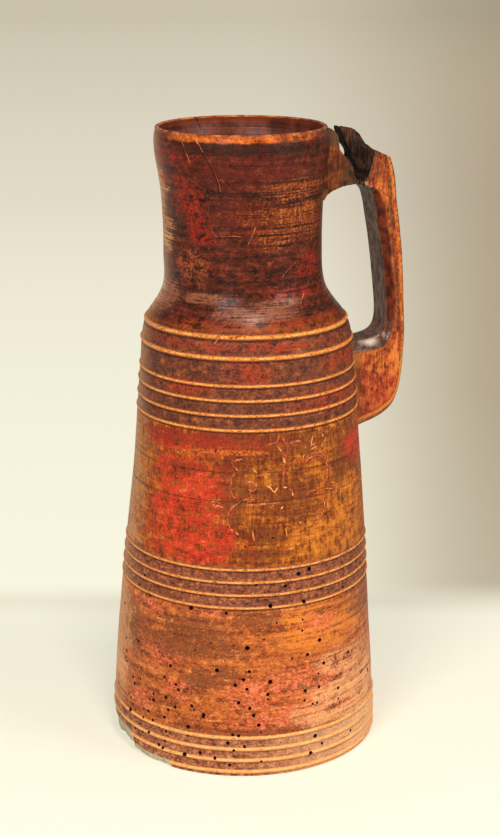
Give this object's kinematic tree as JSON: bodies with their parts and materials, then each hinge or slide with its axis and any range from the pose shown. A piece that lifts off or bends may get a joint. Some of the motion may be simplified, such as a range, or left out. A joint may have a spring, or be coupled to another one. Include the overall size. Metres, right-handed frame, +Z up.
{
  "type": "wooden flagon",
  "caption": "Turned wooden flagon with a conical belly, round shoulder, waisted neck, turned ring bands and a carved strap handle with a broken hinge fork.",
  "frame": {"origin": "centre of the object's footprint box, on the plane that the foot rests on; the vessel's axis stands at x = -0.0082", "axes": "+Z up along the vessel's axis, +X towards the handle, +Y to the handle's far side"},
  "size_m": [0.1604, 0.1442, 0.33],
  "materials": {
    "painted_birch": "worn red paint over birch, waxed",
    "handle_birch": "worn red paint over birch, polished by hands",
    "broken_birch": "dark old break",
    "plain_birch": "bare, aged",
    "pitch": "hard black pitch"
  },
  "bodies": {
    "root": {"vessel_body": "painted_birch", "base_disc": "plain_birch", "base_seal": "pitch", "base_peg_1": "plain_birch", "base_peg_2": "plain_birch", "base_peg_3": "plain_birch", "base_peg_4": "plain_birch", "handle_grip": "handle_birch", "handle_upper_stub": "broken_birch", "lower_tenon_wedge": "plain_birch", "upper_tenon_wedge": "plain_birch"}
  },
  "joints": []
}
